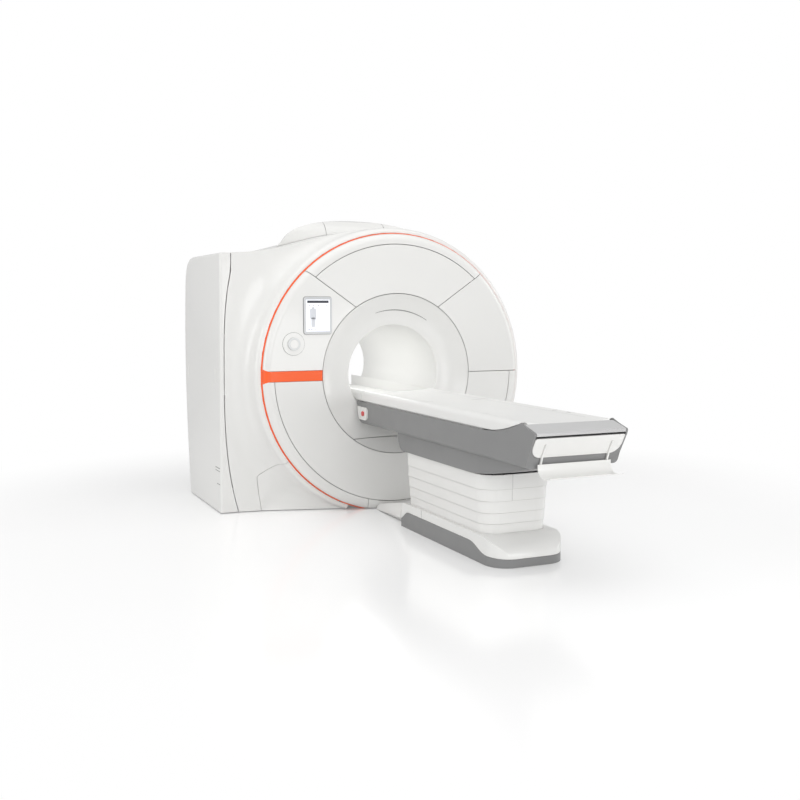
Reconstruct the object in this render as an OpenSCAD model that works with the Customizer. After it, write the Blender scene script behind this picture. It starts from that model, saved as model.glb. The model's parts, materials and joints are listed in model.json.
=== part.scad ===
// Closed-bore MRI scanner: magnet with its covers, lifting patient table and sliding tabletop.
// Millimetres. X = right seen from the front, Y = into the bore, Z = up.
// The origin is the floor point below the bore axis, in the plane of the front panels.

/* [Bore] */
// Height of the bore axis above the floor
axis_h = 978; // [950:1:1010]
// Inner diameter of the patient tunnel
bore_d = 700; // [690:1:710]
// Wall of the tunnel liner
liner_t = 6; // [4:1:8]
// Diameter of the funnel where it meets the front panels
funnel_d = 1150; // [1100:5:1200]
// Depth of the funnel from the front panels to the tunnel
funnel_depth = 79; // [60:1:100]
// Y of the rear end of the tunnel
tunnel_end = 1500; // [1480:5:1520]

/* [Magnet] */
// Outer diameter of the vacuum vessel
magnet_d = 1860; // [1800:10:1880]
// Warm bore diameter of the vacuum vessel
magnet_bore = 900; // [890:2:920]
// Y of the front end of the vessel
magnet_y0 = 190; // [180:5:220]
// Length of the vessel
magnet_len = 1290; // [1250:10:1300]
// Radial wall of the gradient coil
gradient_t = 60; // [50:1:70]
// Diameter of the cold head
cold_head_d = 150; // [120:5:180]

/* [Front covers] */
// Wall of the moulded covers
shell_t = 8; // [5:0.5:10]
// Open seam between covers
seam = 4; // [2:0.5:6]
// Air between the covers and the floor
floor_gap = 5; // [3:1:8]
// Radius of the seam between panels and rim
panel_r = 928; // [900:1:940]
// Radius at which the flat front starts to round back
edge_r = 950; // [945:1:960]
// Radius of the rounding of the front edge
edge_round = 56; // [54:1:70]
// Inner radius of the lit ring
ring_r = 1003; // [998:1:1005]
// Width of the lit ring
ring_w = 7; // [6:1:12]
// Half height of the lit band on the left
band_half = 36; // [30:1:45]
// Distance of the upper seams from the middle, at the funnel
seam_x = 325; // [310:1:340]
// Slope of the upper seams
seam_tilt = 34.5; // [30:0.5:40]
// X of the upright seam in the lower rim
rim_seam_x = 233; // [200:1:260]

/* [Body] */
// Outer radius of the drum
drum_r = 1050; // [1045:1:1060]
// Y of the crest behind the lit ring
crest_y = 100; // [90:1:120]
// X of the left side, from the bore axis
side_x = 1244; // [1230:1:1260]
// Y of the lower front edge of the body
body_y0 = 286; // [280:1:290]
// Forward lean of the body front, as a slope
body_lean = 0.041; // [0.03:0.001:0.05]
// Height of the left shoulder
shoulder_z = 1833; // [1825:1:1845]
// Height of the middle of the body top
crown_z = 2033; // [2030:1:2045]
// Height of the joint between rear cover and upper cover
waist_z = 1600; // [1560:10:1640]
// Y of the body rear at the waist
rear_y = 1290; // [1280:1:1300]
// Radius of the round rear housing
rear_r = 960; // [945:1:970]
// Y of the end of the rear housing
rear_end = 1560; // [1550:5:1580]

/* [Turret] */
// Height of the turret top
turret_z = 2135; // [2120:1:2150]
// Half width of the turret at its foot
turret_w = 650; // [600:5:680]
// Y of the turret front at its foot
turret_y0 = 780; // [760:5:800]
// Y of the turret rear
turret_y1 = 1450; // [1440:5:1470]
// X of the seams beside the middle cover
turret_seam = 250; // [230:1:270]

/* [Controls] */
// X of the middle of the display
display_x = -612; // [-620:1:-600]
// Z of the middle of the display
display_z = 1400; // [1390:1:1410]
// Width of the display bezel
display_w = 206; // [196:1:216]
// Height of the display bezel
display_h = 256; // [246:1:266]
// Z of the middle of the control knob
knob_z = 1205; // [1195:1:1215]
// X of the middle of the control knob
knob_x = -789; // [-795:1:-780]
// Outer diameter of the ring round the knob
knob_d = 156; // [150:1:162]
// Travel of the knob's press button
knob_travel = 3; // [2:0.5:4]

/* [Table] */
// Half width of the table housing and the tabletop
table_w = 290; // [285:1:292]
// Underside of the table housing
housing_z0 = 628; // [620:1:635]
// Underside of the tabletop
top_z0 = 790; // [788:1:794]
// Crest of the tabletop rim
top_z1 = 866; // [860:1:875]
// Half width of the moving tabletop between its rails
board_w = 258; // [252:1:262]
// Y gap between the gantry face and the table head end
head_gap = 8; // [6:1:12]
// Distance of the foot end of the tabletop from the gantry face
top_len = 2215; // [2200:5:2230]
// Length over which the rails taper towards the foot
rise_len = 455; // [435:5:475]
// Distance the housing stands out past the foot of the tabletop
foot_out = 120; // [110:1:130]
// Wall of the table housings
table_t = 8; // [5:0.5:10]
// Half width of the carrier below the housing
carrier_w = 250; // [245:1:255]
// Underside of the carrier
carrier_z = 510; // [500:1:515]
// Distance of the carrier's head end from the gantry face
carrier_y0 = 550; // [540:5:560]

/* [Lift] */
// Half width of the widest telescopic cover
cover_w = 235; // [232:1:240]
// Step from one telescopic cover to the next
cover_step = 5; // [4:0.5:6]
// Wall of the telescopic covers
cover_t = 3; // [2:0.5:3.5]
// Distance of the covers' head end from the gantry face
cover_y0 = 632; // [625:1:640]
// Distance of the covers' foot end from the gantry face
cover_y1 = 1720; // [1700:5:1740]
// Overlap of neighbouring covers when raised
cover_lap = 15; // [10:1:18]
// Outer diameter of the fixed lift guides
guide_d = 220; // [200:5:230]
// Wall of the lift tubes
tube_t = 12; // [8:1:14]

/* [Base] */
// Half width of the table base
base_w = 242.5; // [240:0.5:250]
// Distance of the base's head end from the gantry face
base_y0 = 573; // [565:1:580]
// Distance of the base's foot end from the gantry face
base_y1 = 1870; // [1860:5:1880]
// Top of the base fairing
base_z = 163; // [160:1:168]
// Height of the kick plate along the sides
kick_h = 108; // [102:1:114]
// Height of the kick plate round the foot
kick_foot = 47; // [42:1:52]
// Wall of the base covers
base_t = 6; // [4:0.5:8]

/* [Hidden] */

$fn = 96;
eps = 0.5;
big = 3000;
fit = 0.05;
bore_r = bore_d / 2;
funnel_r = funnel_d / 2;
mouth_r = bore_r + 7;
liner_r = bore_r + liner_t;
wall_y0 = funnel_depth + 16;
drum_fn = 180;

white = "whitesmoke";
grey = "gray";
orange = "darkorange";

// ---- helpers ----
// Turns a solid of revolution about Z into one about the bore axis, its Z along +Y.
module about_bore() { translate([0, 0, axis_h]) rotate([-90, 0, 0]) children(); }

// Revolves an outline of [radius, y] points about the bore axis.
module revolve(pts) { about_bore() rotate_extrude($fn = drum_fn) polygon(pts); }

// A tube about the bore axis.
module bore_tube(r1, r0, y0, y1) {
    about_bore() translate([0, 0, y0]) difference() {
        cylinder(r = r1, h = y1 - y0, $fn = drum_fn);
        translate([0, 0, -eps]) cylinder(r = r0, h = y1 - y0 + 2 * eps, $fn = drum_fn);
    }
}

// Extrudes an outline of [y, z] points from x0 to x1.
module prism_x(pts, x0, x1) {
    translate([x0, 0, 0]) rotate([90, 0, 90]) linear_extrude(x1 - x0) polygon(pts);
}

// Extrudes an outline of [x, z] points from y0 to y1.
module prism_y(pts, y0, y1) {
    translate([0, y1, 0]) rotate([90, 0, 0]) linear_extrude(y1 - y0) polygon(pts);
}

// Extrudes an outline of [x, y] points from z0 to z1.
module prism_z(pts, z0, z1) { translate([0, 0, z0]) linear_extrude(z1 - z0) polygon(pts); }

module box(x0, x1, y0, y1, z0, z1) { translate([x0, y0, z0]) cube([x1 - x0, y1 - y0, z1 - z0]); }

function flat(rows) = [for (row = rows) for (p = row) p];
function lerp(a, b, t) = a + (b - a) * t;
function bezier(p, n) = [for (i = [0:n]) let (t = i / n, s = 1 - t)
    s * s * s * p[0] + 3 * s * s * t * p[1] + 3 * s * t * t * p[2] + t * t * t * p[3]];
function arc(c, r, a0, a1, n = 8) =
    [for (i = [0:n]) let (a = lerp(a0, a1, i / n)) [c[0] + r * cos(a), c[1] + r * sin(a)]];
// A rectangle with its own radius at the near (low) and far (high) ends of the second axis.
function rounded(w, y0, y1, r0, r1) = concat(
    arc([w - r0, y0 + r0], r0, 270, 360), arc([w - r1, y1 - r1], r1, 0, 90),
    arc([r1 - w, y1 - r1], r1, 90, 180), arc([r0 - w, y0 + r0], r0, 180, 270));

// A closed skin between two grids of points: outer[i][j] and inner[i][j].
module skin(outer, inner) {
    rows = len(outer);
    cols = len(outer[0]);
    half = rows * cols;
    function at(i, j, k) = k * half + i * cols + j;
    function quad(a, b, c, d) = [[a, b, c], [a, c, d]];
    faces = concat(
        flat([for (i = [0:rows - 2]) for (j = [0:cols - 2])
            quad(at(i, j, 0), at(i, j + 1, 0), at(i + 1, j + 1, 0), at(i + 1, j, 0))]),
        flat([for (i = [0:rows - 2]) for (j = [0:cols - 2])
            quad(at(i + 1, j, 1), at(i + 1, j + 1, 1), at(i, j + 1, 1), at(i, j, 1))]),
        flat([for (i = [0:rows - 2])
            quad(at(i, 0, 0), at(i + 1, 0, 0), at(i + 1, 0, 1), at(i, 0, 1))]),
        flat([for (i = [0:rows - 2]) quad(at(i, cols - 1, 1), at(i + 1, cols - 1, 1),
            at(i + 1, cols - 1, 0), at(i, cols - 1, 0))]),
        flat([for (j = [0:cols - 2])
            quad(at(0, j, 1), at(0, j + 1, 1), at(0, j + 1, 0), at(0, j, 0))]),
        flat([for (j = [0:cols - 2]) quad(at(rows - 1, j, 0), at(rows - 1, j + 1, 0),
            at(rows - 1, j + 1, 1), at(rows - 1, j, 1))]));
    polyhedron(concat(flat(outer), flat(inner)), faces);
}

// ---- outlines shared by the covers ----
// Y of the leaning front plane of the body at height z.
function front_y(z) = body_y0 - body_lean * z;
// Y of the flat front with its rounded edge, at radius r.
function face_y(r) = r <= edge_r ? 0 : edge_round - sqrt(edge_round * edge_round - pow(r - edge_r, 2));
// Y of the funnel surface at radius r: a shallow dish.
function dish_y(r) = funnel_depth * (1 - pow((r - mouth_r) / (funnel_r - mouth_r), 2));
// X of the seam between the left side cover and the shroud: a long arc.
shroud_x = 1214;
function left_x(z) = let (d = (min(z, 1710) - 1050) / 1000)
    -shroud_x + (d < 0 ? -88 : 175) * pow(d, 3);
// The top of the body, from the crown to the left shoulder.
top_left = bezier([[0, crown_z], [-400, crown_z], [-650, shoulder_z + 25],
    [left_x(shoulder_z), shoulder_z]], 12);
// The top of the body on the right: part of the drum.
body_r = crown_z - axis_h;
waist_a = asin((waist_z - axis_h) / body_r);
top_right = arc([0, axis_h], body_r, waist_a, 90, 12);
top_path = concat(top_right, [for (i = [1:12]) top_left[i]]);
// The rear of the body, from the shoulder down to the floor.
rear_floor = 1226;
rear_bulge = 1395;
rear_path = [for (i = [0:10]) let (t = i / 10, s = 1 - t)
    [s * s * rear_y + 2 * s * t * rear_bulge + t * t * rear_floor,
     s * s * waist_z + 2 * s * t * 900 + t * t * floor_gap]];
corner_len = 250;
function corner_path(z, len, n = 6) = bezier([[rear_y - len, z], [rear_y - 0.2 * len, z],
    [rear_y - 0.05 * len, lerp(waist_z, z, 0.5)], [rear_y, waist_z]], n);
side_profile = concat([[front_y(floor_gap), floor_gap], [front_y(shoulder_z), shoulder_z]],
    corner_path(shoulder_z, corner_len), rear_path);
inner_profile = [for (p = side_profile)
    [p[0] < 600 ? p[0] + shell_t : p[0] - shell_t, p[1] > shoulder_z - 60 ? p[1] - shell_t : p[1]]];

// ---- magnet ----
module magnet() {
    color("lightgray") bore_tube(magnet_d / 2, magnet_bore / 2, magnet_y0, magnet_y0 + magnet_len);
}

module magnet_feet() {
    foot_w = 180;
    color("dimgray") difference() {
        for (x = [-1, 1], y = [magnet_y0 + 140, rear_floor - 165])
            box(x * 430 - foot_w / 2, x * 430 + foot_w / 2, y - 90, y + 90, 0, 260);
        about_bore() cylinder(r = magnet_d / 2, h = big, $fn = drum_fn);
    }
}

// The cold head stands on the vessel's neck, inside the turret.
housing_y0 = rear_floor - 60;
neck_d = cold_head_d * 1.6;
neck_y = housing_y0 - neck_d / 2 - 10;
module cold_head() {
    top = turret_z - 40;
    color("silver") difference() {
        translate([0, neck_y, 0]) {
            translate([0, 0, axis_h]) cylinder(d = neck_d, h = magnet_d / 2 + 40);
            translate([0, 0, axis_h]) cylinder(d = cold_head_d, h = top - axis_h);
        }
        about_bore() cylinder(r = magnet_d / 2, h = big, $fn = drum_fn);
    }
}

module gradient_coil() {
    color("peru") bore_tube(magnet_bore / 2 - 2, magnet_bore / 2 - 2 - gradient_t,
        magnet_y0 + 20, magnet_y0 + magnet_len - 20);
}

module body_coil() {
    color("burlywood") bore_tube(magnet_bore / 2 - 5 - gradient_t, liner_r + 5,
        magnet_y0 + 40, magnet_y0 + magnet_len - 60);
}

module tunnel_liner() {
    color(white) bore_tube(liner_r, bore_r, wall_y0 + 1, tunnel_end);
}

// ---- funnel ----
funnel_n = 12;
module funnel() {
    front = [for (i = [0:funnel_n]) let (r = lerp(funnel_r, mouth_r, i / funnel_n)) [r, dish_y(r)]];
    lip = [for (a = [15:15:90]) [mouth_r - 7 * sin(a), funnel_depth + 16 * (1 - cos(a))]];
    back = [for (i = [0:funnel_n]) let (r = lerp(liner_r, funnel_r, i / funnel_n))
        [r, i == 0 ? wall_y0 : dish_y(max(r, mouth_r)) + shell_t + 4]];
    revolve(concat(front, lip, back));
}
lower_seam_z = 517;
module front_funnel() {
    color(white) intersection() {
        funnel();
        box(-big, big, -10, 200, lower_seam_z + seam / 2, big);
    }
}
module lower_funnel() {
    color(white) intersection() {
        funnel();
        box(-big, big, -10, 200, 0, lower_seam_z - seam / 2);
    }
}
rear_mouth = 460;
module rear_funnel() {
    outer = [for (i = [0:8]) let (t = i / 8)
        [lerp(bore_r, rear_mouth, t * t), lerp(tunnel_end, rear_end, t)]];
    inner = [for (i = [8:-1:0]) let (p = outer[i]) [p[0] + shell_t, p[1] - 5 * i / 8]];
    color(white) revolve(concat([for (p = outer) [p[0], p[1] + 1]], inner));
}

// ---- front panels ----
// The moulded front between two radii.
module front_part(r0, r1) {
    n = 8;
    radii = concat(r0 < edge_r ? [r0] : [],
        [for (i = [0:n]) let (r = lerp(max(r0, edge_r), r1, i / n)) if (r1 > edge_r) r],
        r1 <= edge_r ? [r1] : []);
    outer = [for (r = radii) [r, face_y(r)]];
    inner = [for (i = [len(radii) - 1:-1:0]) let (r = radii[i]) [r, face_y(r) + shell_t]];
    revolve(concat(outer, inner));
}

// Points on the upper seams: side -1 left and 1 right, d along it, n across it.
function on_seam(side, d, n = 0) = [side * (seam_x + d * cos(seam_tilt) - n * sin(seam_tilt)),
    axis_h + 481 + d * sin(seam_tilt) + n * cos(seam_tilt)];
gap = seam / 2;
top_mask = [on_seam(-1, 1400, gap), on_seam(-1, -300, gap), on_seam(1, -300, gap), on_seam(1, 1400, gap)];
band_z1 = axis_h + band_half + 3;
band_z0 = axis_h - band_half + 3;
left_mask = [on_seam(-1, -300, -gap), on_seam(-1, 1400, -gap), [-1500, band_z1 + 2], [-60, band_z1 + 2]];
right_mask = [on_seam(1, -300, -gap), [60, axis_h + gap], [1500, axis_h + gap], on_seam(1, 1400, -gap)];
lower_mask = [[-1500, band_z0 - 2], [0, band_z0 - 2], [0, axis_h - gap], [1500, axis_h - gap],
    [1500, floor_gap], [-1500, floor_gap]];
module masked(mask) { intersection() { children(); prism_y(mask, -20, 300); } }

module front_top_panel() { color(white) masked(top_mask) front_part(funnel_r + seam, panel_r - gap); }
module front_top_rim() { color(white) masked(top_mask) front_part(panel_r + gap, ring_r - 1); }
module front_left_panel() { color(white) masked(left_mask) front_part(funnel_r + seam, ring_r - 1); }
module front_right_panel() { color(white) masked(right_mask) front_part(funnel_r + seam, ring_r - 1); }
module front_lower_panel() {
    color(white) masked(lower_mask) front_part(funnel_r + seam, panel_r - gap);
}
module lower_rim(x0, x1) {
    color(white) intersection() {
        masked(lower_mask) front_part(panel_r + gap, ring_r - 1);
        box(x0, x1, -20, 300, 0, axis_h);
    }
}
// The middle piece of the lower rim stands over the duct.
module lower_rims() {
    lower_rim(-big, -rim_seam_x - gap);
    lower_rim(rim_seam_x + gap, big);
    difference() {
        lower_rim(-rim_seam_x + gap, rim_seam_x - gap);
        box(-duct_w - 2, duct_w + 2, -20, 300, 0, duct_h + 2);
    }
}

// The lit ring carries on the rounding of the rim, so it faces mostly outwards.
ring_y = face_y(ring_r);
ring_back = ring_y + 14;
module light_ring() {
    r1 = ring_r + ring_w;
    color(orange) intersection() {
        revolve([[ring_r, ring_y + 1], [r1, ring_back], [r1, ring_back + 16], [ring_r, ring_back + 16]]);
        box(-big, big, 0, 200, floor_gap, big);
    }
}
// The lit band flares where it meets the ring.
module light_band() {
    flare = 12;
    mask = [[-funnel_r + 40, band_z1], [-ring_r + 90, band_z1], [-ring_r - 10, band_z1 + flare],
        [-ring_r - 10, band_z0 - flare], [-ring_r + 90, band_z0], [-funnel_r + 40, band_z0]];
    color(orange) intersection() {
        masked(mask) front_part(funnel_r + seam, ring_r - 1);
        box(-big, big, -20, 300, band_z0 + 0.1, band_z1 - 0.1);
    }
}

// ---- shrouds behind the ring ----
// Each station pairs a bearing on the ring with a point [x, y, z] on the body.
function bearing(p) = atan2(p[2] - axis_h, abs(p[0]));
function floor_y(x) = x > 943 ? lerp(265, front_y(0), (x - 943) / 300) : lerp(crest_y, 265, (x - 382) / 561);
floor_x0 = sqrt(drum_r * drum_r - axis_h * axis_h);
left_side = [for (i = [0:14]) let (z = lerp(shoulder_z, 0, i / 14)) [left_x(z), front_y(z), z]];
right_side = [for (i = [0:14]) let (z = lerp(axis_h, 0, i / 14)) [body_r, front_y(z), z]];
function floor_run(x1) = [for (i = [1:9]) let (x = lerp(abs(x1), floor_x0, i / 9))
    [sign(x1) * x, floor_y(x), 0]];
left_stations = concat([for (p = top_left) [p[0], front_y(p[1]), p[1]]],
    [for (i = [1:14]) left_side[i]], floor_run(left_x(0)));
right_stations = concat([for (i = [0:16]) let (a = lerp(90, 0, i / 16))
    [body_r * cos(a), front_y(axis_h + body_r * sin(a)), axis_h + body_r * sin(a)]],
    [for (i = [1:14]) right_side[i]], floor_run(body_r));
lip_r = ring_r + ring_w + 2;
lip_y = ring_back + 1;
// The section at one station: a rounded crest, then a hollow sweep out to the body.
function section(p, side, inset) = let (a = bearing(p), c = cos(a) * side, s = sin(a)) concat(
    [for (i = [0:5]) let (f = 18 * i, r = lerp(lip_r, drum_r, sin(f)) - inset * sin(f))
        [c * r, crest_y - (crest_y - lip_y) * cos(f) + inset, axis_h + s * r]],
    [for (i = [1:7]) let (t = i / 7, out = pow(t, 1.7), back = 1 - pow(1 - t, 2.2), r = drum_r - inset,
            k = 1 - inset / drum_r)
        [lerp(c * r, p[0] * k, out), lerp(crest_y, p[1], back) + inset,
         lerp(axis_h + s * r, axis_h + (p[2] - axis_h) * k, out)]]);
module shroud(stations, side) {
    outer = [for (p = stations) section(p, side, 0)];
    inner = [for (p = stations) section(p, side, shell_t)];
    resize([0, 0, 0]) intersection() {
        skin(side < 0 ? inner : outer, side < 0 ? outer : inner);
        box(-big, big, 0, 600, floor_gap, big);
        children();
    }
}
// The corner door, an upright flap low on the left: its outline from the front.
door_pts = concat([[-300, 0], [-952, 0]], arc([-955, 240], 30, 185, 124, 5), [[-805, 387], [-600, 540]]);
module door_area(grow, y1 = 400) {
    mid = [-760, 190];
    k = 1 + grow / 300;
    prism_y([for (p = door_pts)
        [mid[0] + (p[0] - mid[0]) * k, p[1] == 0 ? -10 : mid[1] + (p[1] - mid[1]) * k]], -50, y1);
}
module left_shroud() {
    color(white) shroud(left_stations, -1) difference() {
        box(-big, big, 0, 600, 0, big);
        door_area(seam / 2);
    }
}
module right_shroud() { color(white) shroud(right_stations, 1) box(-big, big, 0, 600, 0, big); }
module corner_door() { color(white) shroud(left_stations, -1) door_area(-seam / 2); }

// ---- body covers ----
module left_cover() {
    edge = [for (i = [0:24]) let (z = lerp(floor_gap, shoulder_z + 1, i / 24)) [left_x(z) - seam, z]];
    color(white) intersection() {
        difference() {
            prism_x(side_profile, -side_x, -1000);
            prism_x(inner_profile, -side_x + shell_t, -900);
            for (y = [390, 1220]) box(-side_x - 1, -side_x + 4, y - 6, y + 6, 922, 1024);
        }
        prism_y(concat([[-side_x - 10, floor_gap]], edge, [[-side_x - 10, shoulder_z + 1]]), 0, 1500);
    }
}

// The right side: the drum down to mid height, then upright to the floor.
module right_cover() {
    r0 = body_r - shell_t;
    top_a = lerp(waist_a, 90, 1 / 12) - 0.6;
    outer = concat(arc([0, axis_h], body_r, top_a, 0, 14), [[body_r, floor_gap], [r0, floor_gap]],
        arc([0, axis_h], r0, 0, top_a, 14));
    color(white) intersection() {
        prism_y(outer, 0, 1500);
        prism_x([for (p = side_profile) [p[0] < 600 ? p[0] + shell_t + seam : p[0] - shell_t - 1, p[1]]],
            0, big);
    }
}

// The top of the body with its rounded rear corner.
module upper_cover() {
    function corner(x) = lerp(60, corner_len, pow(min(1, max(0, (-x - 650) / 500)), 2));
    function row(p, t) = concat(
        [[p[0], front_y(p[1]) + seam + t, p[1] - t]],
        [for (y = [500, 800]) [p[0], y, p[1] - t]],
        [for (q = corner_path(p[1] - t, corner(p[0]))) [p[0], q[0] - t, max(q[1], waist_z + 1)]]);
    path = [for (i = [1:len(top_path) - 1]) top_path[i]];
    color(white) resize([0, 0, 0]) difference() {
        skin([for (p = path) row(p, shell_t)], [for (p = path) row(p, 0)]);
        about_bore() cylinder(r = rear_r + seam, h = big, $fn = drum_fn);
        translate([0, neck_y, axis_h]) cylinder(d = cold_head_d + 20, h = big);
    }
}

module rear_cover() {
    band = concat(rear_path, [for (i = [10:-1:0]) [rear_path[i][0] - shell_t, rear_path[i][1]]]);
    edge = [for (i = [0:24]) let (z = lerp(floor_gap, waist_z, i / 24)) [left_x(z) + seam, z]];
    right = concat([[body_r, floor_gap], [body_r, axis_h]],
        arc([0, axis_h], body_r, 0, waist_a, 12));
    color(white) difference() {
        intersection() {
            prism_x(band, -side_x, big);
            prism_y(concat(right, [for (i = [24:-1:0]) edge[i]]), 1000, 1500);
        }
        about_bore() cylinder(r = rear_r + seam, h = big, $fn = drum_fn);
    }
}

module rear_housing() {
    r = 60;
    outer = concat([[rear_r, housing_y0]],
        [for (a = [0:15:90]) [rear_r - r + r * cos(a), rear_end - r + r * sin(a)]],
        [[rear_mouth + shell_t + seam, rear_end]]);
    inner = [[rear_mouth + shell_t + seam, rear_end - shell_t], [rear_r - r, rear_end - shell_t],
        [rear_r - shell_t, rear_end - r], [rear_r - shell_t, housing_y0]];
    color(white) intersection() {
        revolve(concat(outer, inner));
        box(-big, big, 0, 2000, floor_gap, big);
    }
}

// ---- turret ----
// Half of the turret's outline from the front: a flat crown, then an S down to the body, which
// lies lower on the right; foot holds the S's end as a share of the half width and a drop.
function turret_half(foot, t) = let (w = turret_w, top = turret_z - t) concat(
    bezier([[0, top], [250, top], [420, top - 40], [0.785 * w, top - 83]], 8),
    bezier([[0.8 * w - t / 2, top - 92], [0.9 * w - t / 2, turret_z - 120],
        [(foot[0] - 0.17) * w, top - foot[1] + 40], [foot[0] * w - t, top - foot[1]]], 8),
    [[foot[0] * w - t, 1500]]);
function turret_path(t) = let (left = turret_half([1.12, 257], t), n = len(left)) concat(
    [for (i = [n - 1:-1:1]) [-left[i][0], left[i][1]]], turret_half([1.02, 340], t));
function turret_side(t) = let (y = turret_y0 + t, top = turret_z + 1 - t) [[y, 1500],
    [y, turret_z - 175], [y + 20, turret_z - 95], [y + 55, turret_z - 45], [y + 110, turret_z - 12],
    [y + 170, top], [turret_y1 - 120, top], [turret_y1 - 30 - t, turret_z - 60],
    [turret_y1 - t, turret_z - 185], [turret_y1 - t, 1500]];
body_mask = concat([[body_r + 2, 1400]], [for (p = top_path) [p[0], p[1] + 2]],
    [[-side_x, shoulder_z + 2], [-side_x, 1400]]);
// The turret narrows towards the rear, to this share of its width.
rear_share = 0.7;
module turret_form(t) {
    intersection() {
        translate([0, turret_y1, 0]) rotate([90, 0, 0]) {
            linear_extrude(turret_y1 - turret_y0, scale = [1 / rear_share, 1], slices = 1)
                polygon([for (p = turret_path(t)) [p[0] * rear_share, p[1]]]);
        }
        prism_x(turret_side(t), -big, big);
    }
}
module turret() {
    difference() {
        turret_form(0);
        turret_form(shell_t);
        prism_y(body_mask, 0, rear_y + 2);
        about_bore() cylinder(r = rear_r + 2, h = big, $fn = drum_fn);
    }
}
module turret_cover() {
    color(white) intersection() {
        turret();
        box(-turret_seam + gap, turret_seam - gap, 0, big, 0, big);
    }
}
module turret_side_covers() {
    color(white) difference() {
        turret();
        box(-turret_seam - gap, turret_seam + gap, 0, big, 0, big);
    }
}

// ---- controls on the left panel ----
bezel_out = 10;
module display_bezel() {
    r = 16;
    w = display_w / 2;
    color("lightsteelblue") translate([display_x, 0, 0]) difference() {
        prism_y(rounded(w, display_z - display_h / 2, display_z + display_h / 2, r, r), -bezel_out, -0.2);
        box(-w + 14, w - 14, -bezel_out - 1, -bezel_out + 3, display_z - display_h / 2 + 16,
            display_z + display_h / 2 - 16);
    }
}
module display_screen() {
    w = display_w / 2 - 15;
    h = display_h / 2 - 17;
    color("aliceblue") box(display_x - w, display_x + w, -bezel_out + 1.2, -bezel_out + 2.9,
        display_z - h, display_z + h);
}
knob_ring_r = knob_d / 2 - 34;
knob_plate = 4;
button_r = 30;
module at_knob() { translate([knob_x, 0, knob_z]) rotate([90, 0, 0]) children(); }
module knob_housing() {
    color(white) at_knob() translate([0, 0, 0.2]) cylinder(d = knob_d, h = knob_plate - 0.2);
}
module knob_ring() {
    color("gainsboro") at_knob() difference() {
        translate([0, 0, knob_plate + 0.3]) cylinder(r = knob_ring_r, h = 18);
        translate([0, 0, knob_plate]) cylinder(r = button_r + 0.3, h = 30);
    }
}
module knob_button() {
    color(white) at_knob() translate([0, 0, knob_plate + 0.4 + knob_travel]) cylinder(r = button_r, h = 14);
}

// ---- in the bore ----
deck_z = top_z0 - 7;
nose_y = 4 - head_gap;
rail_in = board_w + 1.5;
rim_gap = 4;
// The outer side of a rail, from its crest down to its foot.
rail_side = concat([[rail_in, top_z1 - 0.2]], arc([table_w - 34, top_z1 - 32], 32, 80, 0, 7),
    arc([table_w - 14, top_z0 + 14], 14, 0, -70, 4), [[table_w - 12, top_z0]]);
// The grey nose below the track carries on the line of the table housing.
module dock_cradle() {
    y1 = funnel_depth - 3;
    z0 = housing_z0;
    outer = [[nose_y, z0], [6, z0], [27, z0 + 18], [y1, top_z0 - 14], [y1, top_z0 - rim_gap],
        [nose_y, top_z0 - rim_gap]];
    inner = [[nose_y + table_t, z0 + 20], [18, z0 + 20], [y1 - 10, top_z0 - 14], [y1 - 10, top_z0],
        [nose_y + table_t, top_z0]];
    color(grey) difference() {
        intersection() {
            prism_y(housing_section(0), nose_y, wall_y0);
            prism_x(outer, -table_w, table_w);
        }
        intersection() {
            prism_y(housing_section(table_t), nose_y, wall_y0);
            prism_x(inner, -table_w, table_w);
        }
        box(13 - table_w, table_w - 13, -big, big, deck_z - 7, big);
    }
}
// The track through the bore: a deck between two rails that carry on those of the table.
function bore_x(z) = sqrt(pow(bore_r - 0.5, 2) - pow(axis_h - z, 2));
module bore_bridge() {
    lane = board_w + 4;
    z0 = deck_z - 45;
    nose_y1 = wall_y0 + 2;
    foot = [for (i = [9:len(rail_side) - 1]) rail_side[i]];
    half = concat([[lane, deck_z], [lane, top_z1 - 0.7]], [for (i = [2:9]) rail_side[i]],
        [[min(table_w - 2, bore_x(deck_z)), deck_z], [bore_x(deck_z - 22), deck_z - 22],
         [bore_x(z0), z0], [180, z0], [180, deck_z - 25]]);
    below = concat(foot, [[table_w - 14, top_z0], [table_w - 14, deck_z - 10],
        [table_w + 10, deck_z - 10], [table_w + 10, foot[0][1]]]);
    color(white) difference() {
        prism_y(concat(half, [for (i = [len(half) - 1:-1:0]) [-half[i][0], half[i][1]]]),
            nose_y, rear_end + 15);
        box(-big, big, nose_y - 1, nose_y1, 0, deck_z - 6);
        prism_y(below, nose_y - 1, nose_y1);
        prism_y([for (p = below) [-p[0], p[1]]], nose_y - 1, nose_y1);
    }
}

// ---- table base ----
plan = rounded(base_w, -base_y1, -base_y0, 130, 25);
inner_plan = rounded(base_w - base_t, -base_y1 + base_t, -base_y0 - base_t, 124, 19);
// Upper edge of the kick plate, from head to foot, as [y, z].
kick_line = concat([[20 - base_y0, kick_foot]],
    bezier([[-base_y0 - 1, kick_foot], [-base_y0 - 45, kick_foot + 4], [-base_y0 - 80, kick_h],
        [-base_y0 - 130, kick_h]], 6),
    bezier([[330 - base_y1, kick_h], [230 - base_y1, kick_h], [210 - base_y1, kick_foot + 8],
        [90 - base_y1, kick_foot + 8]], 10), [[-base_y1 - 20, kick_foot]]);
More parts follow.
